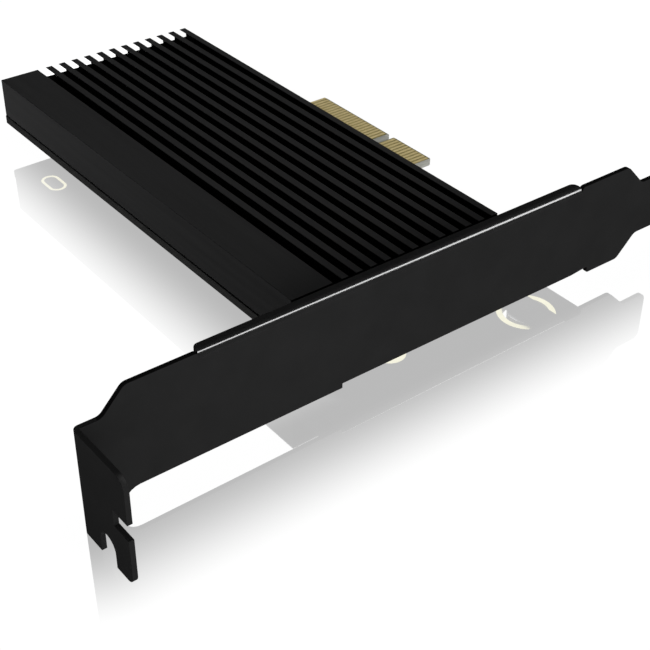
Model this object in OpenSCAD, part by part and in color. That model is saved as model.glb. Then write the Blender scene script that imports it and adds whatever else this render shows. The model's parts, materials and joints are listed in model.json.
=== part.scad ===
// Expansion card that carries one M.2 solid state drive under a finned heatsink.
// The origin is the key notch's centre on the edge connector's outer edge, halfway through the board.
// X runs from the screw tab to the edge connector, Y from the bracket to the board's rear edge.
// Z runs from the solder side to the component side, where the heatsink stands.

/* [Circuit board] */
// Length of the board along Y
board_l = 110.3; // [104:0.1:130]
// Height of the board along X, edge connector included
board_h = 59.35; // [57:0.05:68]
// Thickness of the board
board_t = 1.57; // [1:0.01:2]
// Gap between the bracket's inner face and the board's front edge
board_gap = 1.04; // [0.5:0.01:1.2]
// Width of the front foot that reaches as far out as the edge connector
foot_w = 12; // [8:0.1:20]
// Radius of the inner corners beside the foot and the edge connector
board_fillet_r = 1.2; // [0.2:0.1:3]
// Radius of the board's outer corners
board_corner_r = 0.6; // [0.1:0.1:2]
// Thickness of the copper and gold that stands on the board
plating_t = 0.05; // [0.03:0.01:0.1]
// Wall of the plated barrels in the holes
barrel_t = 0.1; // [0.05:0.01:0.2]

/* [Edge connector] */
// Distance from the edge connector's outer edge back to the board's main edge
tongue_d = 8.25; // [7.8:0.05:9]
// Distance from the key notch's centre to the rear end of the connector
tongue_rear_l = 22.15; // [21.9:0.05:26]
// Distance from the key notch's centre to the front end of the connector
tongue_front_l = 12.15; // [11.9:0.05:14]
// Width of the key notch
key_w = 1.9; // [1.5:0.05:2.2]
// Depth of the key notch
key_d = 7.65; // [6:0.05:8]
// Depth of the lead-in bevel along the outer edge
bevel_d = 0.5; // [0.3:0.05:0.6]
// Height of the lead-in bevel on each face
bevel_h = 0.28; // [0.1:0.01:0.5]
// Number of contacts behind the key notch, on each face
rear_contacts = 21; // [1:1:21]
// Number of contacts in front of the key notch, on each face
front_contacts = 11; // [1:1:11]
// Spacing of the contacts
contact_spacing = 1; // [0.95:0.01:1]
// Width of a contact
contact_w = 0.7; // [0.5:0.01:0.8]
// Length of a contact
contact_l = 5.6; // [4:0.1:7]
// Distance from the outer edge to the contacts
contact_inset = 0.62; // [0.6:0.01:1]
// Distance from the key notch's centre to the nearest contact's centre
first_contact = 1.65; // [1.5:0.01:1.7]

/* [Bracket] */
// Width of the bracket's plate
bracket_w = 18.7; // [18:0.05:20]
// Thickness of the bracket's sheet
sheet_t = 0.86; // [0.7:0.01:1]
// Inner radius of the bends
bend_r = 0.2; // [0.1:0.01:0.4]
// Distance from the bracket's outer face to the key notch's centre
face_to_key = 56.6; // [50:0.1:65]
// Distance from the tab's outer face to the edge connector's outer edge
tab_to_edge = 103.9; // [100:0.1:106]
// Distance from the edge connector's outer edge to the tail's tip
tail_to_edge = 16.12; // [14:0.01:20]
// Height of the board's solder side over the plate's lower edge
board_rise = 1.7; // [1.2:0.01:2.4]
// Width of the tail
tail_w = 10.45; // [9:0.05:12]
// Height of the tail over the plate's lower edge
tail_rise = 3.98; // [3:0.01:5]
// Length of the tail from the end of its shoulders
tail_l = 6.25; // [5:0.05:9]
// Radius of the tail's tip
tail_r = 1.5; // [0.5:0.1:3]
// Length of the tail's shoulders along X
tail_shoulder_l = 4.1; // [3:0.1:6]
// Radius of the shoulders' rounds
shoulder_r = 1.6; // [0.5:0.1:2.5]
// Radius of the plate's small corners
plate_r = 0.7; // [0.2:0.05:1]
// Distance that the tab is set below the plate's lower edge
tab_drop = 4.38; // [3:0.01:5]
// Width of the tab, and of the plate's end beside it
tab_w = 19.02; // [18:0.01:20]
// Distance that the tab stands out from the plate's outer face
tab_l = 12.9; // [11.4:0.05:13.4]
// Distance from the tab's outer face to the neck's edge below the plate
neck_l = 6.3; // [5:0.1:8]
// Radius between the neck and the plate's lower edge
neck_r = 3; // [1:0.1:4]
// Distance from the tab's outer face to the start of the upper slope
slope_start = 4.35; // [3:0.05:6]
// Length of the upper slope along X
slope_l = 3.9; // [3:0.05:5]

/* [Screw tab] */
// Width of the screw slot
slot_w = 4.2; // [4.1:0.01:4.6]
// Distance from the plate's outer face to the screw slot's centre
slot_offset = 6.43; // [6:0.01:7.5]
// Depth of the screw slot
slot_d = 4.66; // [4:0.01:6]
// Width of the notch in the tab's outer edge
notch_w = 2.85; // [2:0.05:4]
// Depth of the notch in the tab's outer edge
notch_d = 3.95; // [2:0.05:4.2]
// Height of that notch over the tab's lower end
notch_rise = 8.35; // [7:0.05:10]
// Radius of the tab's upper outer corner
tab_upper_r = 2.3; // [0.5:0.1:3]
// Radius of the tab's lower outer corner
tab_lower_r = 1.4; // [0.3:0.1:1.6]

/* [Bracket flanges] */
// Distance from the tab's outer face to the upper flange
upper_start = 20.9; // [15:0.1:30]
// Distance from the upper flange to the tail's shoulder
upper_gap = 11.65; // [8:0.05:14]
// Depth of the upper flange from the plate's outer face
upper_d = 2.3; // [1.8:0.05:4]
// Distance that the upper flange lies below the plate's upper edge
upper_drop = 0.1; // [0.05:0.05:1]
// Radius of the upper flange's rear corners
upper_r = 1.1; // [0.3:0.1:1.2]
// Depth of the lower flange between its ears, from the plate's outer face
lower_d = 1.95; // [1.6:0.05:4]
// Length of the relief cut beside the lower flange
relief_l = 4; // [2:0.1:5]
// Depth of that relief cut
relief_d = 1.2; // [0.5:0.05:1.4]
// Width of the ear at the board's far edge
ear_w = 7; // [6:0.1:8]
// Width of the ear under the foot
foot_ear_w = 5.4; // [5:0.1:7]
// Distance from the screw in the foot to the lower flange's end
foot_ear_end = 2.9; // [2.5:0.05:4]
// Length of an ear from the plate's outer face
ear_l = 12; // [11:0.1:14]
// Radius of an ear's corners
ear_r = 2; // [0.5:0.1:3]

/* [Bracket screws] */
// Distance from the bracket's outer face to the screws
screw_y = 7; // [6.5:0.1:7.6]
// Distance from the edge connector's outer edge to the screw in the foot
foot_screw_x = 8.9; // [8.7:0.1:9.3]
// Distance from the board's far edge to the other screw
far_screw_x = 5.4; // [5.2:0.1:5.6]
// Radius of a bracket screw's shank
screw_r = 1.45; // [1:0.01:1.5]
// Radius of a bracket screw's head
screw_head_r = 2.8; // [2.5:0.05:3]
// Height of a bracket screw's head
screw_head_h = 1.9; // [1.2:0.05:2.4]
// Length of the screw's end below the ear
screw_end = 0.5; // [0.2:0.05:1]
// Radius of the plated hole in the foot
foot_hole_r = 4.35; // [4:0.05:4.5]
// Radius of the gold ring around the hole in the foot
foot_ring_r = 5.5; // [5.2:0.05:6]
// Distance that the gold stays away from the board's edges
ring_margin = 0.15; // [0.1:0.05:0.4]
// Radius of the plated hole at the other ear
far_hole_r = 1.75; // [1.7:0.05:2]
// Radius of the gold ring around the hole at the other ear
far_ring_r = 3.3; // [2.8:0.05:3.4]
// Radius of the round spacer in the foot's hole
spacer_r = 3.5; // [3.2:0.05:3.8]

/* [Heatsink] */
// Height of the heatsink over the board
sink_h = 8.03; // [7:0.01:12]
// Distance from the board's far edge to the heatsink
sink_side_gap = 0.25; // [0.1:0.05:1]
// Distance from the board's main edge to the heatsink
sink_main_gap = 5.93; // [5:0.01:8]
// Distance from the board's rear edge to the heatsink
sink_rear_gap = 0.1; // [0.05:0.05:2]
// Distance from the board's front edge to the heatsink
sink_front_gap = 9.4; // [9:0.1:14]
// Number of fins
fins = 12; // [6:1:13]
// Width of the solid block beside the fins
block_w = 8.2; // [6:0.1:10]
// Width of the channel in front of each fin
channel_w = 1.96; // [1.4:0.01:2.3]
// Depth of the channels
channel_d = 2.23; // [1:0.01:2.4]
// Height of the drive bay under the heatsink
bay_h = 4.15; // [3.9:0.01:4.4]
// Width of the bevels along the heatsink's outer edges
sink_bevel = 0.2; // [0.05:0.05:0.4]
// Radius of a heatsink screw's shank
sink_screw_r = 1.25; // [0.9:0.01:1.4]
// Length of a heatsink screw's shank
sink_screw_l = 6; // [4:0.1:6.5]
// Radius of a heatsink screw's head
sink_screw_head_r = 2.4; // [2.2:0.05:2.6]
// Height of a heatsink screw's head
sink_screw_head_h = 1.3; // [0.8:0.05:1.6]
// Thickness of the washer under that head
washer_t = 0.4; // [0.2:0.05:0.6]
// Radius of the washer
washer_r = 2.9; // [2.6:0.05:3.2]
// Inner width of the plated slots under the legs
sink_slot_w = 2.7; // [2.6:0.05:3]
// Inner length of the plated slots under the legs
sink_slot_l = 5.7; // [4:0.05:7]
// Width of the gold ring around a slot
sink_slot_ring = 0.62; // [0.4:0.02:0.8]
// Distance from the heatsink's end to the slots' centres
sink_slot_inset = 10.2; // [8:0.1:12]

/* [Drive bay] */
// Distance from the socket's soldered tabs to the heatsink's legs, on the mean of both sides
bay_margin = 2.06; // [1.8:0.01:3]
// Distance from the heatsink's centre line to the drive's
bay_shift = 0.26; // [0:0.01:0.5]
// Distance from the bracket's outer face to the first standoff hole
bay_y = 12.6; // [12.6:0.1:14]
// Height of the drive's underside over the board
drive_rise = 1.45; // [1.2:0.05:1.6]
// Radius of the plated standoff holes
standoff_hole_r = 1.8; // [1.5:0.05:2]
// Radius of the gold rings around the standoff holes
standoff_ring_r = 3; // [2.6:0.05:3.2]
// Radius of the standoff
standoff_r = 2.6; // [2.3:0.05:2.6]
// Radius of the standoff's thread
standoff_thread_r = 1; // [0.8:0.01:1.1]
// Radius of the drive screw's head
drive_screw_head_r = 2; // [1.7:0.05:2.3]
// Height of the drive screw's head
drive_screw_head_h = 0.7; // [0.5:0.05:1]
// Thickness of the drive's card edge
drive_edge_t = 0.8; // [0.6:0.05:0.9]
// Distance from the standoff and from the socket to the thermal pad
pad_gap = 3.1; // [3:0.1:8]
// Width of the thermal pad
pad_w = 20; // [15:0.5:22]
// Thickness of the thermal pad
pad_t = 0.5; // [0.3:0.05:0.8]

/* [Drive socket] */
// Width of the socket's housing
socket_w = 22; // [21.6:0.1:23]
// Depth of the socket's housing
socket_d = 7; // [6:0.1:8]
// Height of the socket's housing
socket_h = 3.2; // [3.1:0.05:3.4]
// Width of the mouth that the drive's edge goes into
mouth_w = 20.1; // [19.9:0.05:20.4]
// Height of the mouth
mouth_h = 1.3; // [1.2:0.05:1.4]
// Depth of the mouth
mouth_d = 4.2; // [3.6:0.1:4.8]
// Distance that the drive's edge reaches into the socket
socket_reach = 3.8; // [3:0.1:4]
// Distance from the board's rear edge to the socket
socket_rear_gap = 16.4; // [14:0.1:18]
// Spacing of the terminals of one row
terminal_spacing = 0.5; // [0.48:0.01:0.5]
// Width of a terminal
terminal_w = 0.2; // [0.15:0.01:0.24]
// Thickness of a terminal
terminal_t = 0.16; // [0.1:0.01:0.2]
// Length of the terminals' feet outside the housing
terminal_foot = 0.8; // [0.5:0.05:1]
// Offset of the key rib from the socket's centre line
rib_offset = 6.125; // [5.9:0.025:6.2]
// Width of the key rib
rib_w = 1; // [0.8:0.05:1]

/* [Hidden] */

// Overrun of every cut, and the small clearance of pieces that pass through each other
over = 1;
fit_gap = 0.05;
corner_steps = 6;
round_fn = 64;

// Levels: the board's two faces, and the faces of the gold that stands on them
board_top = board_t / 2;
board_bottom = -board_t / 2;
gold_top = board_top + plating_t;
gold_bottom = board_bottom - plating_t;

// Board edges
front_y = -face_to_key + sheet_t + board_gap;
rear_y = front_y + board_l;
far_x = -board_h;
main_x = -tongue_d;

// Bracket levels and edges
face_y = -face_to_key;
tab_x = -tab_to_edge;
plate_low = board_bottom - board_rise;
plate_high = plate_low + bracket_w;
tab_low = plate_low - tab_drop;
tab_high = tab_low + tab_w;
bend_out = bend_r + sheet_t;
ear_top = gold_bottom;
ear_bottom = ear_top - sheet_t;
upper_top = plate_high - upper_drop;
shoulder_x = tail_to_edge - tail_l - tail_shoulder_l;
upper_x = tab_x + upper_start;
upper_end = shoulder_x - upper_gap;

// Screw places on the board
foot_screw = [-foot_screw_x, face_y + screw_y];
far_screw = [far_x + far_screw_x, face_y + screw_y];

// Ends of the lower flange: each one is the outer side of an ear
lower_x = far_screw[0] - ear_w / 2;
lower_end = foot_screw[0] + foot_ear_end;

// Soldered tabs at the socket's ends: width along Y and length along X
hold_down_w = 2.3;
hold_down_l = 1.2;

// Heatsink places
sink_x = far_x + sink_side_gap;
sink_rear = rear_y - sink_rear_gap;
sink_w = board_h - tongue_d - sink_side_gap - sink_main_gap;
sink_l = board_l - sink_rear_gap - sink_front_gap;
sink_front = sink_rear - sink_l;
bay_w = socket_w + 2 * (hold_down_l + bay_margin);
leg_w = (sink_w - bay_w) / 2;
sink_foot = gold_top;
sink_top = board_top + sink_h;
sink_ceiling = board_top + bay_h;
fin_spacing = (sink_w - block_w) / fins;
leg_centres = [sink_x + leg_w / 2, sink_x + sink_w - leg_w / 2];
slot_rows = [sink_front + sink_slot_inset, sink_rear - sink_slot_inset];

// Drive places: the standoff holes stand at the drive lengths of the M.2 form, 80, 60, 42 and 30 mm
bay_x = sink_x + sink_w / 2 - bay_shift;
drive_y = face_y + bay_y;
socket_rear = rear_y - socket_rear_gap;
mouth_y = socket_rear - socket_d;
drive_end = mouth_y + socket_reach;
drive_length_shares = [1, 0.75, 0.525, 0.375];
drive_lengths = [for (k = drive_length_shares) k * (drive_end - drive_y)];
socket_top = board_top + socket_h;
mouth_low = board_top + drive_rise - (mouth_h - drive_edge_t) / 2;

// Terminals of the drive socket: numbered places, less those beside the key rib
terminal_count = 38;
key_places = 4;
upper_places = terminal_places(0);
last_lower = bay_x + mouth_w / 2 - terminal_w;
lower_places = [for (x = terminal_places(terminal_spacing / 2)) if (x < last_lower) x];

// Pan head screws: shares of the head's radius and height
recess_w_share = 0.25;
recess_l_share = 1.1;
recess_floor_share = 0.4;
dome_share = 0.45;
crown_share = 0.72;

// Small pieces on the board: length, width and height of each kind
bulk_size = [3.5, 2.8, 1.9];
ceramic_size = [2, 1.25, 0.9];
coupling_size = [1, 0.5, 0.5];
resistor_size = [1.6, 0.8, 0.45];
led_size = [1.6, 0.8, 0.6];
end_share = 0.2;
bulk_spacing = 5;
ceramic_spacing = 2.6;
coupling_spacing = 1.8;
resistor_spacing = 2;
part_margin = 2;
bulk_places = [for (s = [-1, 1]) [bay_x + s * bulk_spacing, rear_y - part_margin - bulk_size[1] / 2]];
ceramic_places = [for (i = [-2.5 : 2.5]) [bay_x + i * ceramic_spacing, socket_rear + bulk_spacing]];
coupling_places = [for (i = [1 : 8]) [main_x - part_margin, first_contact + i * coupling_spacing]];
resistor_places = [for (i = [1 : 4]) [main_x - part_margin, tongue_rear_l + i * resistor_spacing]];
led_place = [main_x - part_margin, rear_y - part_margin - led_size[1]];

function unit(v) = v / norm(v);

function turned(v, a) = [v[0] * cos(a) - v[1] * sin(a), v[0] * sin(a) + v[1] * cos(a)];

// Points of the round that replaces corner b between its neighbours a and c
function corner_points(a, b, c, r) =
  let (
    u = unit(a - b),
    v = unit(c - b),
    half = acos(u * v) / 2,
    centre = b + unit(u + v) * r / sin(half),
    start = b + u * r / tan(half) - centre,
    stop = b + v * r / tan(half) - centre,
    sweep = sign(cross(start, stop)) * (180 - 2 * half)
  )
  [for (k = [0 : corner_steps]) centre + turned(start, sweep * k / corner_steps)];

// Outline from corners given as [x, y, radius]
function rounded(corners) =
  let (n = len(corners))
  [for (i = [0 : n - 1])
    let (
      a = corners[(i + n - 1) % n],
      b = corners[i],
      c = corners[(i + 1) % n],
      p = [b[0], b[1]]
    )
    each (b[2] > 0 ? corner_points([a[0], a[1]], p, [c[0], c[1]], b[2]) : [p])
  ];

// A slot or hole outline with round ends, along Y
module slot_2d(w, l) {
  hull_l = l - w;
  square([w, hull_l], center = true);
  for (s = [-1, 1]) translate([0, s * hull_l / 2]) circle(d = w, $fn = round_fn);
}

// Lays an outline drawn in X and Z into the XZ plane, from y up to y + depth
module upright(y, depth) {
  translate([0, y + depth, 0]) rotate([90, 0, 0]) linear_extrude(depth) children();
}

// Lays an outline drawn in Y and Z into the YZ plane, from x up to x + depth
module sideways(x, depth) {
  translate([x, 0, 0]) rotate([90, 0, 90]) linear_extrude(depth) children();
}

// Quarter of a bend's section, with its outer corner at the origin and its legs along +X and +Y
module bend_2d() {
  intersection() {
    square(bend_out);
    translate([bend_out, bend_out]) difference() {
      circle(bend_out, $fn = round_fn);
      circle(bend_r, $fn = round_fn);
    }
  }
}

// The board's outline with its foot, connector tongue and key notch
module board_outline() {
  difference() {
    polygon(rounded([
      [far_x, front_y, board_corner_r],
      [0, front_y, board_corner_r],
      [0, front_y + foot_w, board_corner_r],
      [main_x, front_y + foot_w, board_fillet_r],
      [main_x, -tongue_front_l, board_fillet_r],
      [0, -tongue_front_l, bevel_d],
      [0, tongue_rear_l, bevel_d],
      [main_x, tongue_rear_l, board_fillet_r],
      [main_x, rear_y, board_corner_r],
      [far_x, rear_y, board_corner_r]
    ]));
    translate([-key_d + key_w / 2, 0]) circle(d = key_w, $fn = round_fn);
    translate([-key_d + key_w / 2, -key_w / 2]) square([key_d, key_w]);
  }
}

// Wedge that bevels the tongue's outer edge on the component side
module edge_bevel() {
  upright(-tongue_front_l - over, tongue_front_l + tongue_rear_l + 2 * over)
    polygon([
      [-bevel_d, board_top],
      [over, board_top - bevel_h * (1 + over / bevel_d)],
      [over, board_top + over],
      [-bevel_d, board_top + over]
    ]);
}

module circuit_board() {
  color([0.06, 0.06, 0.065]) difference() {
    translate([0, 0, board_bottom]) linear_extrude(board_t) board_outline();
    translate([foot_screw[0], foot_screw[1], board_bottom - over])
      cylinder(r = foot_hole_r + barrel_t, h = board_t + 2 * over, $fn = round_fn);
    translate([far_screw[0], far_screw[1], board_bottom - over])
      cylinder(r = far_hole_r + barrel_t, h = board_t + 2 * over, $fn = round_fn);
    for (l = drive_lengths) translate([bay_x, drive_end - l, board_bottom - over])
      cylinder(r = standoff_hole_r, h = board_t + 2 * over, $fn = round_fn);
    for (x = leg_centres, y = slot_rows) translate([x, y, board_bottom - over])
      linear_extrude(board_t + 2 * over)
        slot_2d(sink_slot_w + 2 * barrel_t, sink_slot_l + 2 * barrel_t);
    edge_bevel();
    mirror([0, 0, 1]) edge_bevel();
  }
}

// One face's contacts, standing up from the given level
module edge_contacts(z) {
  rear_places = [for (i = [0 : rear_contacts - 1]) first_contact + i * contact_spacing];
  front_places = [for (i = [0 : front_contacts - 1]) -first_contact - i * contact_spacing];
  color([0.72, 0.6, 0.32])
    for (y = concat(rear_places, front_places))
      translate([-contact_inset - contact_l, y - contact_w / 2, z])
        cube([contact_l, contact_w, plating_t]);
}

module edge_contacts_component_side() edge_contacts(board_top);

module edge_contacts_solder_side() edge_contacts(gold_bottom);

// A plated hole: a barrel through the board with a flat ring on each face
module plated_hole(r, ring_r) {
  translate([0, 0, gold_bottom]) difference() {
    union() {
      cylinder(r = ring_r, h = plating_t, $fn = round_fn);
      cylinder(r = r + barrel_t, h = board_t + 2 * plating_t, $fn = round_fn);
      translate([0, 0, board_t + plating_t]) cylinder(r = ring_r, h = plating_t, $fn = round_fn);
    }
    translate([0, 0, -over]) cylinder(r = r, h = board_t + 2 * plating_t + 2 * over, $fn = round_fn);
  }
}

// The ring in the foot stops short of the board's edges
module bracket_hole_plating() {
  color([0.8, 0.74, 0.5]) intersection() {
    union() {
      translate([foot_screw[0], foot_screw[1], 0]) plated_hole(foot_hole_r, foot_ring_r);
      translate([far_screw[0], far_screw[1], 0]) plated_hole(far_hole_r, far_ring_r);
    }
    translate([0, 0, board_bottom - over]) linear_extrude(board_t + 2 * over)
      offset(delta = -ring_margin) board_outline();
  }
}

// The standoff holes have flat rings alone, one on each face
module standoff_hole_plating() {
  color([0.8, 0.74, 0.5])
    for (l = drive_lengths, z = [gold_bottom, board_top]) translate([bay_x, drive_end - l, z])
      linear_extrude(plating_t) difference() {
        circle(standoff_ring_r, $fn = round_fn);
        circle(standoff_hole_r, $fn = round_fn);
      }
}

// A plated slot: the same, drawn along Y
module plated_slot() {
  ring_w = sink_slot_w + 2 * sink_slot_ring;
  ring_l = sink_slot_l + 2 * sink_slot_ring;
  translate([0, 0, gold_bottom]) difference() {
    union() {
      linear_extrude(plating_t) slot_2d(ring_w, ring_l);
      linear_extrude(board_t + 2 * plating_t)
        slot_2d(sink_slot_w + 2 * barrel_t, sink_slot_l + 2 * barrel_t);
      translate([0, 0, board_t + plating_t]) linear_extrude(plating_t) slot_2d(ring_w, ring_l);
    }
    translate([0, 0, -over]) linear_extrude(board_t + 2 * plating_t + 2 * over)
      slot_2d(sink_slot_w, sink_slot_l);
  }
}

module heatsink_slot_plating() {
  color([0.8, 0.74, 0.5])
    for (x = leg_centres, y = slot_rows) translate([x, y, 0]) plated_slot();
}

// The plate's outline, with steps down to where the two flanges are bent
module plate_outline() {
  tail_low = plate_low + tail_rise;
  tail_high = tail_low + tail_w;
  tail_start = tail_to_edge - tail_l;
  polygon(rounded([
    [tab_x + bend_out, tab_low, 0],
    [tab_x + neck_l, tab_low, plate_r],
    [tab_x + neck_l, plate_low, neck_r],
    [lower_x, plate_low, 0],
    [lower_x, ear_bottom + bend_out, 0],
    [lower_end, ear_bottom + bend_out, 0],
    [lower_end, plate_low + relief_d, 0],
    [lower_end + relief_l, plate_low + relief_d, plate_r / 2],
    [lower_end + relief_l, plate_low, plate_r / 2],
    [shoulder_x, plate_low, shoulder_r],
    [tail_start, tail_low, shoulder_r],
    [tail_to_edge, tail_low, tail_r],
    [tail_to_edge, tail_high, tail_r],
    [tail_start, tail_high, shoulder_r],
    [shoulder_x, plate_high, shoulder_r],
    [upper_end, plate_high, plate_r],
    [upper_end, upper_top - bend_out, 0],
    [upper_x, upper_top - bend_out, 0],
    [upper_x, plate_high, plate_r],
    [tab_x + slope_start + slope_l, plate_high, shoulder_r],
    [tab_x + slope_start, tab_high, shoulder_r],
    [tab_x + bend_out, tab_high, 0]
  ]));
}

// The screw tab's outline in Y and Z, with its open screw slot and edge notch
module tab_outline() {
  tip = face_y - tab_l;
  slot_y = face_y - slot_offset;
  slot_top = tab_low + slot_d - slot_w / 2;
  difference() {
    polygon(rounded([
      [tip, tab_low, tab_lower_r],
      [face_y - bend_r, tab_low, 0],
      [face_y - bend_r, tab_high, 0],
      [tip, tab_high, tab_upper_r]
    ]));
    translate([slot_y, slot_top]) circle(d = slot_w, $fn = round_fn);
    translate([slot_y - slot_w / 2, tab_low - over]) square([slot_w, slot_top - tab_low + over]);
    translate([tip - over, tab_low + notch_rise]) square([notch_d + over, notch_w]);
  }
}

// The lower flange seen from above: a narrow strip with an ear at each end
module lower_flange_outline() {
  y0 = face_y + bend_out;
  y1 = face_y + lower_d;
  y2 = face_y + ear_l;
  foot_ear_x = lower_end - foot_ear_w;
  far_ear_x = far_screw[0] + ear_w / 2;
  polygon(rounded([
    [lower_x, y0, 0],
    [lower_end, y0, 0],
    [lower_end, y2, ear_r],
    [foot_ear_x, y2, ear_r],
    [foot_ear_x, y1, 0],
    [far_ear_x, y1, 0],
    [far_ear_x, y2, ear_r],
    [lower_x, y2, ear_r]
  ]));
}

module bracket() {
  color([0.1, 0.1, 0.1]) difference() {
    union() {
      upright(face_y, sheet_t) plate_outline();
      sideways(tab_x, sheet_t) tab_outline();
      // Bend between the tab and the plate
      translate([tab_x, face_y + sheet_t, tab_low]) linear_extrude(tab_w)
        mirror([0, 1]) bend_2d();
      // Upper flange, bent back over the card
      sideways(upper_x, upper_end - upper_x)
        translate([face_y, upper_top]) mirror([0, 1]) bend_2d();
      translate([0, 0, upper_top - sheet_t]) linear_extrude(sheet_t)
        polygon(rounded([
          [upper_x, face_y + bend_out, 0],
          [upper_end, face_y + bend_out, 0],
          [upper_end, face_y + upper_d, upper_r],
          [upper_x, face_y + upper_d, upper_r]
        ]));
      // Lower flange, bent back under the board
      sideways(lower_x, lower_end - lower_x)
        translate([face_y, ear_bottom]) bend_2d();
      translate([0, 0, ear_bottom]) linear_extrude(sheet_t) lower_flange_outline();
    }
    for (p = [foot_screw, far_screw]) translate([p[0], p[1], ear_bottom - over])
      cylinder(r = screw_r + fit_gap, h = sheet_t + 2 * over, $fn = round_fn);
  }
}

// A pan head screw, head up, with its seat at the origin and a cross recess
module pan_screw(r, l, head_r, head_h) {
  recess_w = head_r * recess_w_share;
  recess_l = head_r * recess_l_share;
  dome_h = head_h * dome_share;
  difference() {
    union() {
      translate([0, 0, -l]) cylinder(r = r, h = l, $fn = round_fn);
      cylinder(r = head_r, h = head_h - dome_h, $fn = round_fn);
      translate([0, 0, head_h - dome_h])
        cylinder(r1 = head_r, r2 = head_r * crown_share, h = dome_h, $fn = round_fn);
    }
    for (a = [0, 90]) rotate([0, 0, a])
      translate([-recess_l / 2, -recess_w / 2, head_h * recess_floor_share])
        cube([recess_l, recess_w, head_h]);
  }
}

module bracket_screws() {
  shank = board_t + 2 * plating_t + sheet_t + screw_end;
  color([0.12, 0.12, 0.12])
    for (p = [foot_screw, far_screw]) translate([p[0], p[1], gold_top])
      pan_screw(screw_r, shank, screw_head_r, screw_head_h);
}

module bracket_spacer() {
  color([0.5, 0.5, 0.52]) translate([foot_screw[0], foot_screw[1], ear_top]) difference() {
    cylinder(r = spacer_r, h = board_t + 2 * plating_t, $fn = round_fn);
    translate([0, 0, -over])
      cylinder(r = screw_r + fit_gap, h = board_t + 2 * plating_t + 2 * over, $fn = round_fn);
  }
}

// The heatsink's section in X and Z: block, base, two legs and the row of fins
module sink_section() {
  x1 = sink_x + sink_w;
  floor_z = sink_top - channel_d;
  difference() {
    polygon([
      [sink_x, sink_foot],
      [sink_x + leg_w, sink_foot],
      [sink_x + leg_w, sink_ceiling],
      [x1 - leg_w, sink_ceiling],
      [x1 - leg_w, sink_foot],
      [x1, sink_foot],
      [x1, sink_top - sink_bevel],
      [x1 - sink_bevel, sink_top],
      [sink_x + sink_bevel, sink_top],
      [sink_x, sink_top - sink_bevel]
    ]);
    for (i = [0 : fins - 1])
      translate([sink_x + block_w + i * fin_spacing, floor_z]) square([channel_w, channel_d + over]);
  }
}

module heatsink() {
  color([0.08, 0.08, 0.08]) difference() {
    upright(sink_front, sink_l) sink_section();
    for (y = slot_rows) translate([leg_centres[1], y, sink_foot - over])
      cylinder(r = sink_screw_r + fit_gap, h = sink_screw_l - board_t + over, $fn = round_fn);
  }
}

module heatsink_screws() {
  color([0.5, 0.5, 0.52])
    for (y = slot_rows) translate([leg_centres[1], y, gold_bottom - washer_t]) mirror([0, 0, 1])
      pan_screw(sink_screw_r, sink_screw_l, sink_screw_head_r, sink_screw_head_h);
}

module heatsink_washers() {
  color([0.62, 0.62, 0.64])
    for (y = slot_rows) translate([leg_centres[1], y, gold_bottom - washer_t]) difference() {
      cylinder(r = washer_r, h = washer_t, $fn = round_fn);
      translate([0, 0, -over])
        cylinder(r = sink_screw_r + fit_gap, h = washer_t + 2 * over, $fn = round_fn);
    }
}

module thermal_pad() {
  pad_l = mouth_y - drive_y - 2 * pad_gap;
  color([0.45, 0.5, 0.55]) translate([bay_x - pad_w / 2, drive_y + pad_gap, sink_ceiling - pad_t])
    cube([pad_w, pad_l, pad_t]);
}

module drive_standoff() {
  color([0.75, 0.68, 0.42]) translate([bay_x, drive_y, 0]) difference() {
    union() {
      translate([0, 0, gold_top]) cylinder(r = standoff_r, h = drive_rise - plating_t, $fn = round_fn);
      translate([0, 0, board_bottom])
        cylinder(r = standoff_hole_r - fit_gap, h = board_t + plating_t, $fn = round_fn);
    }
    translate([0, 0, board_bottom - over])
      cylinder(r = standoff_thread_r, h = board_t + drive_rise + 2 * over, $fn = round_fn);
  }
}

module drive_screw() {
  color([0.7, 0.7, 0.72]) translate([bay_x, drive_y, board_top + drive_rise])
    pan_screw(standoff_thread_r - fit_gap, drive_rise + board_t / 2, drive_screw_head_r,
      drive_screw_head_h);
}

// Places of a row's terminals along X, less those beside the key rib
function terminal_places(shift) = [
  for (i = [0 : terminal_count - 1])
    let (x = (i - (terminal_count - 1) / 2) * terminal_spacing + shift)
    if (abs(x - rib_offset) > key_places * terminal_spacing / 2) bay_x + x
];

// An upper terminal is a beam under the mouth's roof with a foot behind the socket
module socket_upper_terminals() {
  beam_z = mouth_low + mouth_h;
  color([0.78, 0.7, 0.42])
    for (x = upper_places)
      sideways(x - terminal_w / 2, terminal_w)
        polygon([
          [mouth_y + terminal_foot, beam_z],
          [socket_rear, beam_z],
          [socket_rear, board_top],
          [socket_rear + terminal_foot, board_top],
          [socket_rear + terminal_foot, board_top + terminal_t],
          [socket_rear + terminal_t, board_top + terminal_t],
          [socket_rear + terminal_t, beam_z + terminal_t],
          [mouth_y + terminal_foot, beam_z + terminal_t]
        ]);
}

// A lower terminal is a beam over the mouth's floor with a foot in front of the socket
module socket_lower_terminals() {
  color([0.78, 0.7, 0.42])
    for (x = lower_places)
      sideways(x - terminal_w / 2, terminal_w)
        polygon([
          [mouth_y - terminal_foot, board_top],
          [mouth_y, board_top],
          [mouth_y, mouth_low - terminal_t],
          [mouth_y + mouth_d - terminal_foot, mouth_low - terminal_t],
          [mouth_y + mouth_d - terminal_foot, mouth_low],
          [mouth_y - terminal_t, mouth_low],
          [mouth_y - terminal_t, board_top + terminal_t],
          [mouth_y - terminal_foot, board_top + terminal_t]
        ]);
}

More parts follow.
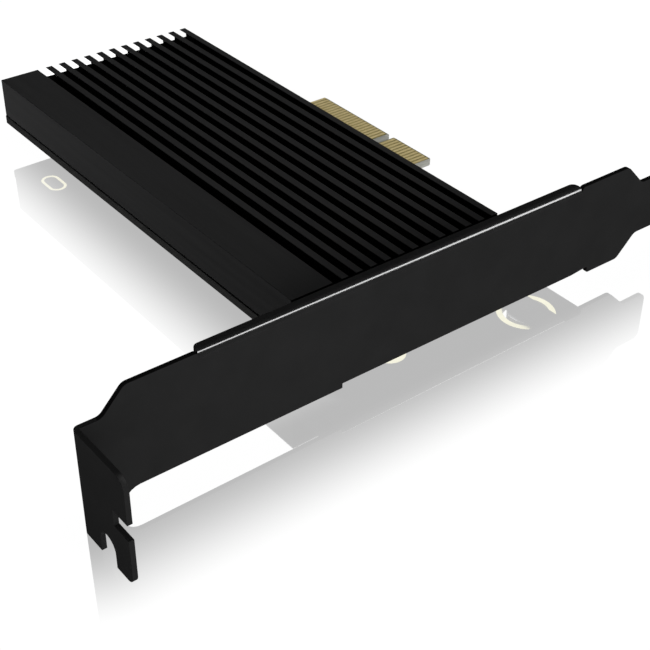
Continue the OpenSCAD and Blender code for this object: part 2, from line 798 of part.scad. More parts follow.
module socket_housing() {
  groove_w = terminal_w + 2 * fit_gap;
  color([0.05, 0.05, 0.055]) difference() {
    translate([bay_x - socket_w / 2, mouth_y, board_top]) cube([socket_w, socket_d, socket_h]);
    difference() {
      translate([bay_x - mouth_w / 2, mouth_y - over, mouth_low])
        cube([mouth_w, mouth_d + over, mouth_h]);
      translate([bay_x + rib_offset - rib_w / 2, mouth_y - 2 * over, mouth_low - over])
        cube([rib_w, mouth_d + 4 * over, mouth_h + 2 * over]);
    }
    for (x = upper_places)
      translate([x - groove_w / 2, mouth_y + terminal_foot - fit_gap, mouth_low + mouth_h - fit_gap])
        cube([groove_w, socket_d + over, terminal_t + 2 * fit_gap]);
    for (x = lower_places)
      translate([x - groove_w / 2, mouth_y - over, mouth_low - terminal_t - fit_gap])
        cube([groove_w, mouth_d - terminal_foot + over + fit_gap, terminal_t + 2 * fit_gap]);
  }
}

// Metal tabs at the socket's ends, soldered to the board
module socket_hold_downs() {
  color([0.75, 0.75, 0.77])
    for (s = [-1, 1]) translate([bay_x + s * socket_w / 2, 0, 0]) scale([s, 1, 1])
      upright(mouth_y + socket_d / 2 - hold_down_w / 2, hold_down_w)
        polygon([
          [0, board_top],
          [hold_down_l, board_top],
          [hold_down_l, board_top + terminal_t],
          [terminal_t, board_top + terminal_t],
          [terminal_t, board_top + socket_h / 2],
          [0, board_top + socket_h / 2]
        ]);
}

// The middle of a chip part, and its two soldered ends
module chip_body(size) {
  end_l = size[0] * end_share;
  translate([-size[0] / 2 + end_l, -size[1] / 2, board_top])
    cube([size[0] - 2 * end_l, size[1], size[2]]);
}

module chip_ends(size) {
  end_l = size[0] * end_share;
  for (x = [-size[0] / 2, size[0] / 2 - end_l]) translate([x, -size[1] / 2, board_top])
    cube([end_l, size[1], size[2]]);
}

module bulk_capacitors() {
  color([0.75, 0.55, 0.2]) for (p = bulk_places) translate([p[0], p[1], 0]) chip_body(bulk_size);
}

module bulk_capacitor_ends() {
  color([0.75, 0.75, 0.77]) for (p = bulk_places) translate([p[0], p[1], 0]) chip_ends(bulk_size);
}

module ceramic_capacitors() {
  color([0.55, 0.4, 0.28])
    for (p = ceramic_places) translate([p[0], p[1], 0]) rotate([0, 0, 90]) chip_body(ceramic_size);
}

module ceramic_capacitor_ends() {
  color([0.75, 0.75, 0.77])
    for (p = ceramic_places) translate([p[0], p[1], 0]) rotate([0, 0, 90]) chip_ends(ceramic_size);
}

module coupling_capacitors() {
  color([0.55, 0.4, 0.28])
    for (p = coupling_places) translate([p[0], p[1], 0]) chip_body(coupling_size);
}

module coupling_capacitor_ends() {
  color([0.75, 0.75, 0.77])
    for (p = coupling_places) translate([p[0], p[1], 0]) chip_ends(coupling_size);
}

module resistors() {
  color([0.08, 0.08, 0.08])
    for (p = resistor_places) translate([p[0], p[1], 0]) chip_body(resistor_size);
}

module resistor_ends() {
  color([0.75, 0.75, 0.77])
    for (p = resistor_places) translate([p[0], p[1], 0]) chip_ends(resistor_size);
}

module status_led() {
  color([0.9, 0.92, 0.85]) translate([led_place[0], led_place[1], 0]) chip_body(led_size);
}

module status_led_ends() {
  color([0.75, 0.75, 0.77]) translate([led_place[0], led_place[1], 0]) chip_ends(led_size);
}

circuit_board();
edge_contacts_component_side();
edge_contacts_solder_side();
bracket();
bracket_screws();
bracket_spacer();
bracket_hole_plating();
heatsink();
heatsink_screws();
heatsink_washers();
heatsink_slot_plating();
thermal_pad();
standoff_hole_plating();
drive_standoff();
drive_screw();
socket_housing();
socket_upper_terminals();
socket_lower_terminals();
socket_hold_downs();
bulk_capacitors();
bulk_capacitor_ends();
ceramic_capacitors();
ceramic_capacitor_ends();
coupling_capacitors();
coupling_capacitor_ends();
resistors();
resistor_ends();
status_led();
status_led_ends();
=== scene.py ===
import json
import math

import bpy
from mathutils import Matrix, Vector

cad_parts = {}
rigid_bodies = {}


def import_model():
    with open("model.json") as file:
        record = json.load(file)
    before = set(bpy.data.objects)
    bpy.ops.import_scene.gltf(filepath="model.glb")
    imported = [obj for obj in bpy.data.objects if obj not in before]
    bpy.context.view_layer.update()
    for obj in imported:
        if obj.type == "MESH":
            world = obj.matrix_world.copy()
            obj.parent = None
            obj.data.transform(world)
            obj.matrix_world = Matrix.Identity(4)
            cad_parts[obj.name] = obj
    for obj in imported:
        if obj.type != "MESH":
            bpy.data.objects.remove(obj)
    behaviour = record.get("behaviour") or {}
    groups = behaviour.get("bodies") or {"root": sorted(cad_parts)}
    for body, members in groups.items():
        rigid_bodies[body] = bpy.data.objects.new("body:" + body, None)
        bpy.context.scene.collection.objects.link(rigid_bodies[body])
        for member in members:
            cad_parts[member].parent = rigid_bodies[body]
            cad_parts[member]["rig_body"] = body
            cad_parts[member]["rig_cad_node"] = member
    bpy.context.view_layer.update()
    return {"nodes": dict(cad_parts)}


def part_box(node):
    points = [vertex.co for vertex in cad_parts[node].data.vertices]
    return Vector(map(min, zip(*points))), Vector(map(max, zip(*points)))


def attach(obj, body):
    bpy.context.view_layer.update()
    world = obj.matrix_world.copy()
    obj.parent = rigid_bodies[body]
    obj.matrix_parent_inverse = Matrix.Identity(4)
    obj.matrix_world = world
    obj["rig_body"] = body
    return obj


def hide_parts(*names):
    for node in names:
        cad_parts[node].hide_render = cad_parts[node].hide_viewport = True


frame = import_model()
mm = 0.001
print("frame loaded:", len(frame["nodes"]), "nodes")

# for all meshes: the merging distance and slack are in millimetres, the angles in degrees
meshSpec = dict(mergeDistance=0.0005, slack=0.02, flatAngle=0.5, sharpAngle=30, smoothAngle=40,
                normalWeight=100)


def deselectAll():
    if bpy.context.object and bpy.context.object.mode != "OBJECT":
        bpy.ops.object.mode_set(mode="OBJECT")
    bpy.ops.object.select_all(action="DESELECT")


def pick(piece):
    deselectAll()
    piece.select_set(True)
    bpy.context.view_layer.objects.active = piece


def settle(piece):
    # the place goes into the mesh, and the object back to the origin
    pick(piece)
    bpy.ops.object.transform_apply(location=True, rotation=True, scale=True)


def applyModifier(piece, kind, **settings):
    pick(piece)
    modifier = piece.modifiers.new(kind.lower(), kind)
    for key, value in settings.items():
        setattr(modifier, key, value)
    bpy.ops.object.modifier_apply(modifier=modifier.name)


def startEdit(piece, kind):
    # edit mode, with nothing selected
    pick(piece)
    bpy.ops.object.mode_set(mode="EDIT")
    bpy.ops.mesh.select_mode(type=kind)
    bpy.ops.mesh.select_all(action="DESELECT")


def selectFaces(piece, test):
    # leaves edit mode on, with the faces that pass the test selected
    startEdit(piece, "FACE")
    bpy.ops.object.mode_set(mode="OBJECT")
    for face in piece.data.polygons:
        face.select = test(face.center / mm, face.normal)
    bpy.ops.object.mode_set(mode="EDIT")


def selectVertices(piece, test):
    # the same for vertices
    startEdit(piece, "VERT")
    bpy.ops.object.mode_set(mode="OBJECT")
    for vertex in piece.data.vertices:
        vertex.select = test(vertex.co / mm)
    bpy.ops.object.mode_set(mode="EDIT")


def cutAcross(point, direction):
    # new edges where a plane crosses the mesh in edit mode
    bpy.ops.mesh.select_all(action="SELECT")
    bpy.ops.mesh.bisect(plane_co=point, plane_no=direction)


def giveFaces(piece, material, test):
    # one more material, on the faces that pass the test
    piece.data.materials.append(material)
    selectFaces(piece, test)
    piece.active_material_index = len(piece.data.materials) - 1
    bpy.ops.object.material_slot_assign()
    bpy.ops.object.mode_set(mode="OBJECT")


def softenEdges(piece, width, segments=2, limit="ANGLE"):
    applyModifier(piece, "BEVEL", width=width * mm, segments=segments, limit_method=limit,
                  angle_limit=math.radians(meshSpec["sharpAngle"]), use_clamp_overlap=False, loop_slide=False)
    pick(piece)
    bpy.ops.object.shade_smooth_by_angle(angle=math.radians(meshSpec["smoothAngle"]))
    applyModifier(piece, "WEIGHTED_NORMAL", keep_sharp=True, weight=meshSpec["normalWeight"])


def mergedCopy(nodeName):
    # a CAD node's own mesh is loose triangles, so a copy of it is merged into clean faces
    pick(frame["nodes"][nodeName])
    bpy.ops.object.duplicate(linked=False)
    piece = bpy.context.object
    piece.parent = None
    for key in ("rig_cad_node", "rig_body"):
        if key in piece:
            del piece[key]
    piece.data.materials.clear()
    bpy.ops.object.mode_set(mode="EDIT")
    bpy.ops.mesh.select_all(action="SELECT")
    bpy.ops.mesh.remove_doubles(threshold=meshSpec["mergeDistance"] * mm)
    bpy.ops.mesh.dissolve_limited(angle_limit=math.radians(meshSpec["flatAngle"]))
    bpy.ops.object.mode_set(mode="OBJECT")
    return piece


def showInstead(piece, name, material, nodeName):
    # the finished piece stands for one CAD node
    piece.name = name
    piece.data.name = name
    piece.data.materials.append(material)
    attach(piece, "root")
    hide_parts(nodeName)


def addNode(tree, kind, **values):
    node = tree.nodes.new(kind)
    for key, value in values.items():
        node.inputs[key.replace("_", " ")].default_value = value
    return node


def joinSockets(tree, pairs):
    for source, target in pairs:
        tree.links.new(source, target)


# what a look doesn't say is taken from here; depth is in millimetres
plainLook = dict(metal=0, gloss=0.5, stretch=(1, 1, 1), relief=0.1, depth=0.01)
noiseSpec = dict(patchDetail=4, grainDetail=3, darkStop=0.3, lightStop=0.7)


def surface(name, ownLook):
    # colour, roughness and relief come from noise on Object coordinates
    look = {**plainLook, **ownLook}
    material = bpy.data.materials.new(name)
    material.use_nodes = True
    tree = material.node_tree
    shader = tree.nodes["Principled BSDF"]
    shader.inputs["Metallic"].default_value = look["metal"]
    shader.inputs["Specular IOR Level"].default_value = look["gloss"]
    coordinates = tree.nodes.new("ShaderNodeTexCoord")
    mapping = addNode(tree, "ShaderNodeMapping", Scale=look["stretch"])
    patch = addNode(tree, "ShaderNodeTexNoise", Scale=look["patch"], Detail=noiseSpec["patchDetail"])
    grain = addNode(tree, "ShaderNodeTexNoise", Scale=look["grain"], Detail=noiseSpec["grainDetail"])
    tint = tree.nodes.new("ShaderNodeValToRGB")
    for stop, shade in zip(tint.color_ramp.elements, ("dark", "light")):
        stop.position = noiseSpec[shade + "Stop"]
        stop.color = (*look[shade], 1)
    rough = addNode(tree, "ShaderNodeMapRange", To_Min=look["rough"][0], To_Max=look["rough"][1])
    relief = addNode(tree, "ShaderNodeBump", Strength=look["relief"], Distance=look["depth"] * mm)
    joinSockets(tree, (
        (coordinates.outputs["Object"], mapping.inputs["Vector"]),
        (mapping.outputs["Vector"], patch.inputs["Vector"]),
        (mapping.outputs["Vector"], grain.inputs["Vector"]),
        (patch.outputs["Fac"], tint.inputs["Fac"]),
        (tint.outputs["Color"], shader.inputs["Base Color"]),
        (grain.outputs["Fac"], rough.inputs["Value"]),
        (rough.outputs["Result"], shader.inputs["Roughness"]),
        (grain.outputs["Fac"], relief.inputs["Height"]),
        (relief.outputs["Normal"], shader.inputs["Normal"]),
    ))
    return material


looks = {
    "powderCoat": dict(dark=(0.0132, 0.0132, 0.0133), light=(0.0152, 0.0152, 0.0153), patch=220, grain=5200,
                       rough=(0.42, 0.56), gloss=0.12, relief=0.25, depth=0.012),
    # the sheet's cut and eased edges: a darker, duller copy of the coat, painted shade that keeps them black
    "shadedCutEdge": dict(dark=(0.004, 0.004, 0.004), light=(0.007, 0.007, 0.007), patch=220, grain=5200,
                    rough=(0.6, 0.8), gloss=0.03, depth=0.006),
    # the bends: a glossier copy of the coat, slightly lighter, a painted highlight; the bright line on them
    # is the rimStrip lamp in the gloss
    "bendCoatHighlight": dict(dark=(0.013, 0.013, 0.0131), light=(0.017, 0.017, 0.0171), patch=220, grain=5200,
                     rough=(0.12, 0.16), gloss=0.9, relief=0.04, depth=0.003),
    "anodised": dict(dark=(0.0102, 0.0102, 0.0103), light=(0.0122, 0.0122, 0.0123), patch=900, grain=6500,
                     stretch=(1, 0.03, 1), rough=(0.42, 0.56), gloss=0.15, relief=0.2, depth=0.006),
    # the channels and the heatsink's front face: a near-black copy of the anodising, painted shade in the
    # recesses and on the front
    "channelShade": dict(dark=(0.0012, 0.0012, 0.0012), light=(0.002, 0.002, 0.002), patch=700, grain=5000,
                         stretch=(1, 0.03, 1), rough=(0.6, 0.8), gloss=0.03, depth=0.006),
    # the fins' left walls: the same near-black painted shade as the channels, made smooth so they mirror the
    # finEnds lamp
    "finWallShade": dict(dark=(0.0012, 0.0012, 0.0012), light=(0.002, 0.002, 0.002), patch=700, grain=900,
                    stretch=(1, 0.03, 1), rough=(0.02, 0.04), relief=0.01, depth=0.0005),
    "sideBlack": dict(dark=(0.0102, 0.0102, 0.0103), light=(0.0122, 0.0122, 0.0123), patch=900, grain=6500,
                      stretch=(1, 0.03, 1), rough=(0.42, 0.56), gloss=0, relief=0.2, depth=0.006),
    "solderMask": dict(dark=(0.008, 0.0082, 0.009), light=(0.013, 0.0133, 0.0145), patch=350, grain=2600,
                       rough=(0.25, 0.36), gloss=0.4),
    "maskEdge": dict(dark=(0.021, 0.021, 0.0205), light=(0.034, 0.034, 0.033), patch=2600, grain=7000,
                     stretch=(0.2, 0.2, 1), rough=(0.6, 0.8), gloss=0.2, relief=0.3, depth=0.02),
    "laminate": dict(dark=(0.42, 0.42, 0.37), light=(0.55, 0.55, 0.50), patch=2600, grain=7000,
                     stretch=(0.2, 0.2, 1), rough=(0.6, 0.8), gloss=0.3, relief=0.3, depth=0.02),
    "bareTongue": dict(dark=(0.42, 0.36, 0.11), light=(0.50, 0.43, 0.14), patch=900, grain=3000,
                       rough=(0.45, 0.6), gloss=0.4),
    "hardGold": dict(dark=(0.50, 0.40, 0.17), light=(0.60, 0.49, 0.23), patch=900, grain=5000,
                     rough=(0.26, 0.38), metal=1, depth=0.004),
    "paleGold": dict(dark=(0.62, 0.59, 0.37), light=(0.72, 0.69, 0.44), patch=700, grain=4000,
                     rough=(0.28, 0.42), metal=1, relief=0.12, depth=0.005),
    "steel": dict(dark=(0.42, 0.42, 0.43), light=(0.55, 0.55, 0.56), patch=1500, grain=6000,
                  rough=(0.22, 0.36), metal=1, relief=0.12, depth=0.005),
    "blackZinc": dict(dark=(0.03, 0.03, 0.032), light=(0.05, 0.05, 0.052), patch=1500, grain=6000,
                      rough=(0.3, 0.45), metal=0.6, relief=0.12, depth=0.005),
    "tin": dict(dark=(0.52, 0.52, 0.53), light=(0.66, 0.66, 0.67), patch=2500, grain=7000,
                rough=(0.25, 0.4), metal=1, relief=0.25),
    "brass": dict(dark=(0.60, 0.47, 0.22), light=(0.70, 0.56, 0.28), patch=1500, grain=5000,
                  rough=(0.25, 0.36), metal=1, depth=0.005),
    "siliconePad": dict(dark=(0.16, 0.2, 0.24), light=(0.21, 0.25, 0.29), patch=500, grain=3000,
                        rough=(0.6, 0.75), gloss=0.3, relief=0.3, depth=0.02),
    "socketPlastic": dict(dark=(0.012, 0.012, 0.013), light=(0.02, 0.02, 0.021), patch=900, grain=5000,
                          rough=(0.5, 0.65), gloss=0.35, relief=0.2),
    "tantalum": dict(dark=(0.52, 0.3, 0.06), light=(0.6, 0.37, 0.09), patch=1500, grain=6000,
                     rough=(0.4, 0.5), gloss=0.45, relief=0.15),
    "ceramic": dict(dark=(0.24, 0.15, 0.08), light=(0.31, 0.2, 0.12), patch=3000, grain=9000,
                    rough=(0.35, 0.5), gloss=0.45, relief=0.2, depth=0.008),
    "resistorBlack": dict(dark=(0.012, 0.012, 0.013), light=(0.02, 0.02, 0.022), patch=3000, grain=9000,
                          rough=(0.25, 0.4), relief=0.15, depth=0.006),
    "ledResin": dict(dark=(0.7, 0.74, 0.6), light=(0.8, 0.84, 0.7), patch=2500, grain=8000,
                     rough=(0.15, 0.25), gloss=0.6, relief=0.05, depth=0.004),
}
finish = {name: surface(name, look) for name, look in looks.items()}
print("materials made:", len(finish))

cameraSpec = dict(place=(-163.047, -187.789, 129.723), lens=74.77, sensor=36,
                  yaw=-37.862, pitch=35.469, roll=0.478, near=10, far=20000)


def turn(degrees, axis):
    return Matrix.Rotation(math.radians(degrees), 3, axis)


def makeCamera(spec):
    data = bpy.data.cameras.new("camera")
    data.lens = spec["lens"]
    data.sensor_width = spec["sensor"]
    data.clip_start = spec["near"] * mm
    data.clip_end = spec["far"] * mm
    camera = bpy.data.objects.new("camera", data)
    bpy.context.scene.collection.objects.link(camera)
    camera.location = Vector(spec["place"]) * mm
    aim = turn(spec["yaw"], "Z") @ turn(90 - spec["pitch"], "X") @ turn(spec["roll"], "Z")
    camera.rotation_euler = aim.to_euler()
    bpy.context.scene.camera = camera


makeCamera(cameraSpec)
print("camera made")

# the floor glows white and mirrors the part, less so away from its footprints, which are given as a
# middle and a half size in plan; lean is the rise along X and Y
floorSpec = dict(level=-6.36, lean=(0.0045, 0.0012), size=12000, glow=1.04, mirror=0.535, blur=0.03,
                 footprints=(((-27, 0), (28, 58)), ((-44, -57), (60, 1))), fadeEnd=19.2)


def distanceOutside(tree, source, middle, half):
    # how far a point lies outside a rectangle in plan
    value = source
    for operation, second in (
        ("SUBTRACT", middle),
        ("ABSOLUTE", None),
        ("SUBTRACT", half),
        ("MAXIMUM", (0, 0)),
        ("LENGTH", None),
    ):
        step = tree.nodes.new("ShaderNodeVectorMath")
        step.operation = operation
        tree.links.new(value, step.inputs[0])
        if second is not None:
            step.inputs[1].default_value = (second[0] * mm, second[1] * mm, 0)
        value = step.outputs["Value" if operation == "LENGTH" else "Vector"]
    return value


def makeFloorMaterial(spec):
    material = bpy.data.materials.new("whiteFloor")
    material.use_nodes = True
    tree = material.node_tree
    tree.nodes.clear()
    output = tree.nodes.new("ShaderNodeOutputMaterial")
    glow = addNode(tree, "ShaderNodeEmission", Strength=spec["glow"])
    mirror = addNode(tree, "ShaderNodeBsdfGlossy", Roughness=spec["blur"])
    mix = tree.nodes.new("ShaderNodeMixShader")
    point = tree.nodes.new("ShaderNodeTexCoord").outputs["Object"]
    gaps = [distanceOutside(tree, point, middle, half) for middle, half in spec["footprints"]]
    nearest = tree.nodes.new("ShaderNodeMath")
    nearest.operation = "MINIMUM"
    fade = addNode(tree, "ShaderNodeMapRange", From_Max=spec["fadeEnd"] * mm, To_Min=spec["mirror"], To_Max=0)
    fade.interpolation_type = "SMOOTHSTEP"
    joinSockets(tree, (
        (gaps[0], nearest.inputs[0]),
        (gaps[1], nearest.inputs[1]),
        (nearest.outputs["Value"], fade.inputs["Value"]),
        (fade.outputs["Result"], mix.inputs["Fac"]),
        (glow.outputs["Emission"], mix.inputs[1]),
        (mirror.outputs["BSDF"], mix.inputs[2]),
        (mix.outputs["Shader"], output.inputs["Surface"]),
    ))
    return material


def makeFloor(spec):
    bpy.ops.mesh.primitive_plane_add(size=spec["size"] * mm, location=(0, 0, spec["level"] * mm))
    floor = bpy.context.object
    floor.name = "floor"
    floor.rotation_euler = (spec["lean"][1], -spec["lean"][0], 0)
    floor.data.materials.append(makeFloorMaterial(spec))
    floor.visible_glossy = False
    floor.visible_shadow = False
    return floor


floor = makeFloor(floorSpec)

# a wide canopy that only the floor mirrors
canopySpec = dict(height=600, width=6000, radiance=1.15)
# the lamps that shape the part, all but the heatsink
lampSpecs = {
    "rimStrip": dict(place=(470, -470, 745), size=(1100, 180), power=6.5, shines="GLOSS"),
    "frontSoft": dict(place=(-150, -1200, 260), size=(900, 900), power=11, shines="MATT"),
    "rearSoft": dict(place=(-100, 700, 1000), size=(900, 900), power=2.5, shines="MATT"),
}
# the heatsink's own: its left side is lit from the rear, and the fins' smooth walls mirror the last one
# at the open ends of the channels
sinkLampSpecs = {
    "sinkFront": dict(place=(420, -1150, 260), size=(900, 900), power=50, shines="MATT"),
    "sinkRear": dict(place=(350, 700, 1000), size=(900, 900), power=12, shines="MATT"),
    "sinkSide": dict(place=(-180, 230, -20), size=(80, 40), power=1.55, shines="MATT"),
    "finEnds": dict(place=(-421, 780, -356), size=(300, 300), power=3, shines="GLOSS"),
}
# for the bare metal alone, which mirrors little else: one over the part and one under it
metalLampSpecs = {
    "metalOver": dict(place=(560, 640, 580), size=(900, 900), power=1.75, shines="GLOSS"),
    "metalUnder": dict(place=(300, 450, -900), size=(1800, 1800), power=17, shines="GLOSS"),
}
# soft light from the right and rear for the small parts, which the heatsink and the bracket shade
smallLampSpecs = {
    "smallSoft": dict(place=(600, 400, 600), size=(900, 900), power=14, shines="MATT"),
    "smallShine": dict(place=(300, 700, 500), size=(700, 700), power=1.5, shines="GLOSS"),
}
lampTarget = (-40, 0, 0)


def makeLamp(name, place, size, power, shines="ALL", target=lampTarget):
    data = bpy.data.lights.new(name, "AREA")
    data.shape = "RECTANGLE"
    data.size, data.size_y = size[0] * mm, size[1] * mm
    data.energy = power
    lamp = bpy.data.objects.new(name, data)
    bpy.context.scene.collection.objects.link(lamp)
    lamp.location = Vector(place) * mm
    lamp.rotation_euler = (lamp.location - Vector(target) * mm).to_track_quat("Z", "X").to_euler()
    lamp.visible_camera = False
    lamp.visible_diffuse = shines != "GLOSS"
    lamp.visible_glossy = shines != "MATT"
    return lamp


def lightGroup(name, pieces, state="INCLUDE"):
    # the pieces that a lamp is for, or with EXCLUDE the ones that it leaves out
    group = bpy.data.collections.new(name)
    for piece in pieces:
        group.objects.link(piece)
    for member in group.collection_objects:
        member.light_linking.link_state = state
    return group


def makeCanopy(spec, floor):
    width = spec["width"] * mm
    canopy = makeLamp("canopy", (0, 0, spec["height"]), (spec["width"], spec["width"]),
                      spec["radiance"] * math.pi * width * width, target=(0, 0, 0))
    canopy.light_linking.receiver_collection = lightGroup("floorOnly", [floor])


def makeLamps(specs, group):
    for name, spec in specs.items():
        makeLamp(name, **spec).light_linking.receiver_collection = group


makeCanopy(canopySpec, floor)

worldSpec = dict(shade=0.05)


def makeWorld(spec):
    world = bpy.data.worlds.new("softStudio")
    bpy.context.scene.world = world
    world.use_nodes = True
    background = world.node_tree.nodes["Background"]
    background.inputs["Color"].default_value = (spec["shade"],) * 3 + (1,)
    bpy.context.scene.view_settings.view_transform = "Standard"


makeWorld(worldSpec)
print("stage made")

# the heatsink is one extrusion in the CAD's box: its end face is cut from a plane, then drawn out along
# the card; the facing values are the least parts of a normal along an axis
sinkSpec = dict(block=8.42, fins=12, fin=1.44, pitch=3.02, channelDepth=2.03, leg=8.2, ceiling=4.935,
                edge=0.1, edgeSteps=3, slack=0.01, squareFacing=0.9, wallFacing=0.5, sideFacing=0.2)


def makeHeatsink(spec):
    low, high = (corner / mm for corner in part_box("heatsink"))
    middle, size = (low + high) / 2, high - low
    blockEnd = low.x + spec["block"]
    finStarts = [high.x - spec["fin"] - i * spec["pitch"] for i in reversed(range(spec["fins"]))]
    channelStarts = [blockEnd] + [start + spec["fin"] for start in finStarts[:-1]]
    channels = list(zip(channelStarts, finStarts))
    channelFloor = high.z - spec["channelDepth"]
    legInner = (low.x + spec["leg"], high.x - spec["leg"])
    bpy.ops.mesh.primitive_plane_add(size=1, rotation=(math.radians(90), 0, 0),
                                     location=(middle.x * mm, low.y * mm, middle.z * mm))
    piece = bpy.context.object
    piece.scale = (size.x * mm, size.z * mm, 1)
    settle(piece)
    bpy.ops.object.mode_set(mode="EDIT")
    for x in (*legInner, *channelStarts, *finStarts):
        cutAcross((x * mm, 0, 0), (1, 0, 0))
    for z in (spec["ceiling"], channelFloor):
        cutAcross((0, 0, z * mm), (0, 0, 1))
    bpy.ops.object.mode_set(mode="OBJECT")

    def isOpen(centre, normal):
        inBay = legInner[0] < centre.x < legInner[1] and centre.z < spec["ceiling"]
        inChannel = centre.z > channelFloor and any(start < centre.x < end for start, end in channels)
        return inBay or inChannel

    selectFaces(piece, isOpen)
    bpy.ops.mesh.delete(type="FACE")
    bpy.ops.mesh.select_all(action="SELECT")
    bpy.ops.mesh.dissolve_limited(angle_limit=math.radians(meshSpec["flatAngle"]))
    bpy.ops.mesh.select_all(action="SELECT")
    bpy.ops.mesh.extrude_region_move(TRANSFORM_OT_translate={"value": (0, size.y * mm, 0)})
    bpy.ops.mesh.select_all(action="SELECT")
    bpy.ops.mesh.normals_make_consistent(inside=False)
    bpy.ops.object.mode_set(mode="OBJECT")
    softenEdges(piece, spec["edge"], segments=spec["edgeSteps"])
    showInstead(piece, "heatsinkBody", finish["anodised"], "heatsink")

    def inChannel(centre, normal):
        inHeight = channelFloor - spec["edge"] < centre.z < high.z - spec["edge"]
        inWidth = blockEnd - spec["slack"] < centre.x < high.x - spec["edge"]
        return inHeight and inWidth and abs(normal.y) < spec["wallFacing"]

    def isLeftWall(centre, normal):
        return inChannel(centre, normal) and centre.x > blockEnd and normal.x < -spec["squareFacing"]

    def isLeftSide(centre, normal):
        return centre.x < blockEnd and normal.x < -spec["sideFacing"]

    # the faces in the channels and on the front, which take the painted shade
    def isInShade(centre, normal):
        return inChannel(centre, normal) or normal.y < -spec["squareFacing"]

    # painted shade: the channels and the front face near black
    giveFaces(piece, finish["channelShade"], isInShade)
    # the fins' left walls keep the painted shade but mirror the finEnds lamp
    giveFaces(piece, finish["finWallShade"], isLeftWall)
    giveFaces(piece, finish["sideBlack"], isLeftSide)
    return piece


heatsink = makeHeatsink(sinkSpec)
print("heatsink made")

# the bracket is the CAD's folded sheet, with its upper flange drawn out and its lower bend tightened;
# a bend is given as its start and end along X and the level that it lies beyond, and lowerCorner is
# where the lower bend's outer faces would meet, in Y and Z
bracketSpec = dict(upperBend=(-83.45, -5.88, 14.9), lowerBend=(-57.45, -6.0, -0.6), upperEnd=(-83.72, -81.88),
                   lengthen=0.45, lowerCorner=(-56.6, -1.68), bendRadius=1.06, tighten=0.2, onArc=0.01,
                   tabInner=-102.7, plateInner=-55.7, edge=0.05, edgeSteps=3,
                   curvedFacing=dict(x=0.05, y=(-0.998, -0.03), z=0.06), flatFacing=0.995)


def lengthenUpperFlange(piece, spec):
    # its end beside the tab is drawn out, and the rounded corners there go along
    start, end = spec["upperEnd"]
    selectVertices(piece, lambda point: start < point.x < end and point.z > spec["upperBend"][2])
    bpy.ops.transform.translate(value=(-spec["lengthen"] * mm, 0, 0))
    bpy.ops.object.mode_set(mode="OBJECT")


def tightenLowerBend(piece, spec):
    # the bend is drawn in towards its sharp corner, so the sheet folds tightly under the board
    cornerY, cornerZ = spec["lowerCorner"]
    radius, near = spec["bendRadius"], spec["onArc"]
    start, end = spec["lowerBend"][0] - meshSpec["slack"], spec["lowerBend"][1] + meshSpec["slack"]

    def isOnArc(point):
        y, z = point.y - cornerY - radius, point.z - cornerZ - radius
        return start < point.x < end and y < near and z < near and abs(math.hypot(y, z) - radius) < near

    selectVertices(piece, isOnArc)
    bpy.ops.transform.resize(value=(1, spec["tighten"], spec["tighten"]),
                             center_override=(0, cornerY * mm, cornerZ * mm))
    bpy.ops.object.mode_set(mode="OBJECT")


def isAtBendEnd(point, spec):
    upper, lower = spec["upperBend"], spec["lowerBend"]
    atUpper = min(abs(point.x - upper[0]), abs(point.x - upper[1])) < meshSpec["slack"]
    atLower = min(abs(point.x - lower[0]), abs(point.x - lower[1])) < meshSpec["slack"]
    return (atUpper and point.z > upper[2]) or (atLower and point.z < lower[2])


def weighEdges(piece, spec):
    # sharp edges are eased, but the ends of the bends are left as cut
    startEdit(piece, "EDGE")
    bpy.ops.mesh.edges_select_sharp(sharpness=math.radians(meshSpec["sharpAngle"]))
    bpy.ops.object.mode_set(mode="OBJECT")
    weights = piece.data.attributes.new("bevel_weight_edge", "FLOAT", "EDGE")
    for edge in piece.data.edges:
        ends = [piece.data.vertices[index].co / mm for index in edge.vertices]
        isEased = edge.select and not all(isAtBendEnd(end, spec) for end in ends)
        weights.data[edge.index].value = 1 if isEased else 0


def makeBracket(spec):
    piece = mergedCopy("bracket")
    lengthenUpperFlange(piece, spec)
    tightenLowerBend(piece, spec)
    weighEdges(piece, spec)
    softenEdges(piece, spec["edge"], segments=spec["edgeSteps"], limit="WEIGHT")
    showInstead(piece, "bracketSheet", finish["powderCoat"], "bracket")
    upper, lower = spec["upperBend"], spec["lowerBend"]
    facing = spec["curvedFacing"]

    def isOnBend(centre):
        onUpper = upper[0] < centre.x < upper[1] and centre.z > upper[2]
        onLower = lower[0] < centre.x < lower[1] and centre.z < lower[2]
        return onUpper or onLower

    def isCurvedOutside(centre, normal):
        looksOut = facing["y"][0] < normal.y < facing["y"][1] and abs(normal.x) < facing["x"]
        return looksOut and abs(normal.z) > facing["z"] and isOnBend(centre)

    def isCutEdge(centre, normal):
        inPlate = centre.x > spec["tabInner"] and centre.y < spec["plateInner"]
        return inPlate and abs(normal.y) < spec["flatFacing"] and not isOnBend(centre)

    # painted highlight: the outside of the bends slightly lighter and glossier than the plate
    giveFaces(piece, finish["bendCoatHighlight"], isCurvedOutside)
    # painted shade: the plate's cut and eased edges darker than its faces
    giveFaces(piece, finish["shadedCutEdge"], isCutEdge)


makeBracket(bracketSpec)

# the board keeps the CAD's outline; the contacts stand on bare laminate, set off by a cut across the tongue
boardSpec = dict(tongueStart=-6.5, tongueFront=-12.4, tongueRear=22.4, edge=0.05, flatFacing=0.95)


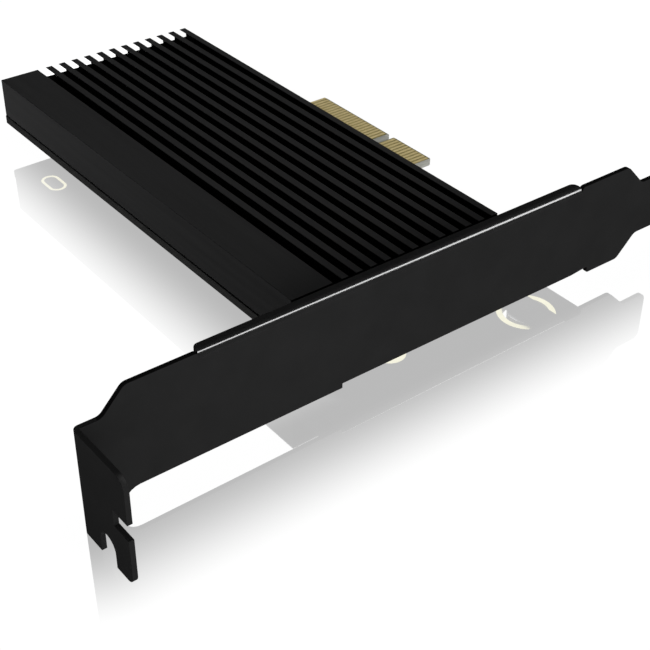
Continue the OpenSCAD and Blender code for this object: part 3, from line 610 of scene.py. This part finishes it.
def makeBoard(spec):
    piece = mergedCopy("circuit_board")
    softenEdges(piece, spec["edge"])
    pick(piece)
    bpy.ops.object.mode_set(mode="EDIT")
    cutAcross((spec["tongueStart"] * mm, 0, 0), (1, 0, 0))
    bpy.ops.object.mode_set(mode="OBJECT")
    showInstead(piece, "boardBody", finish["solderMask"], "circuit_board")

    def isOnTongue(centre):
        return centre.x > spec["tongueStart"] and spec["tongueFront"] < centre.y < spec["tongueRear"]

    def isFlat(normal):
        return abs(normal.z) >= spec["flatFacing"]

    giveFaces(piece, finish["maskEdge"], lambda centre, normal: not isFlat(normal) and not isOnTongue(centre))
    giveFaces(piece, finish["laminate"], lambda centre, normal: not isFlat(normal) and isOnTongue(centre))
    giveFaces(piece, finish["bareTongue"], lambda centre, normal: isFlat(normal) and isOnTongue(centre))


makeBoard(boardSpec)
print("bracket and board made")

# fastenings keep the CAD's shape, with their edges eased by the width given
fastenings = {
    "bracket_screws": dict(name="bracketScrews", material="blackZinc", slot="screw_black", edge=0.08),
    "bracket_spacer": dict(name="bracketSpacer", material="steel", slot="steel", edge=0.05),
    "heatsink_screws": dict(name="heatsinkScrews", material="steel", slot="steel", edge=0.08),
    "heatsink_washers": dict(name="heatsinkWashers", material="steel", slot="steel", edge=0.05),
    "drive_standoff": dict(name="driveStandoff", material="brass", slot="standoff_brass", edge=0.06),
    "drive_screw": dict(name="driveScrew", material="steel", slot="steel", edge=0.08),
}
for nodeName, spec in fastenings.items():
    piece = mergedCopy(nodeName)
    softenEdges(piece, spec["edge"])
    showInstead(piece, spec["name"], finish[spec["material"]], nodeName)
print("fastenings made")

# nodes whose shape is right keep it and take their finish here
metalFinishes = {
    "edge_contacts_component_side": "hardGold", "edge_contacts_solder_side": "hardGold",
    "bracket_hole_plating": "paleGold", "heatsink_slot_plating": "paleGold",
    "standoff_hole_plating": "paleGold",
}
smallFinishes = {
    "thermal_pad": "siliconePad", "socket_housing": "socketPlastic", "socket_upper_terminals": "hardGold",
    "socket_lower_terminals": "hardGold", "socket_hold_downs": "tin", "bulk_capacitors": "tantalum",
    "bulk_capacitor_ends": "tin", "ceramic_capacitors": "ceramic", "ceramic_capacitor_ends": "tin",
    "coupling_capacitors": "ceramic", "coupling_capacitor_ends": "tin", "resistors": "resistorBlack",
    "resistor_ends": "tin", "status_led": "ledResin", "status_led_ends": "tin",
}
for nodeName, material in {**metalFinishes, **smallFinishes}.items():
    node = frame["nodes"][nodeName]
    node.data.materials.clear()
    node.data.materials.append(finish[material])
print("small parts finished")

bareFastenings = ("bracketSpacer", "heatsinkScrews", "heatsinkWashers", "driveStandoff")
metalPieces = [frame["nodes"][name] for name in metalFinishes]
metalPieces += [bpy.data.objects[name] for name in bareFastenings]
makeLamps(metalLampSpecs, lightGroup("metalOnly", metalPieces))
makeLamps(smallLampSpecs, lightGroup("smallOnly", [frame["nodes"][name] for name in smallFinishes]))
makeLamps(sinkLampSpecs, lightGroup("sinkOnly", [heatsink]))
makeLamps(lampSpecs, lightGroup("allButSink", [heatsink], state="EXCLUDE"))
print("linked lights made")
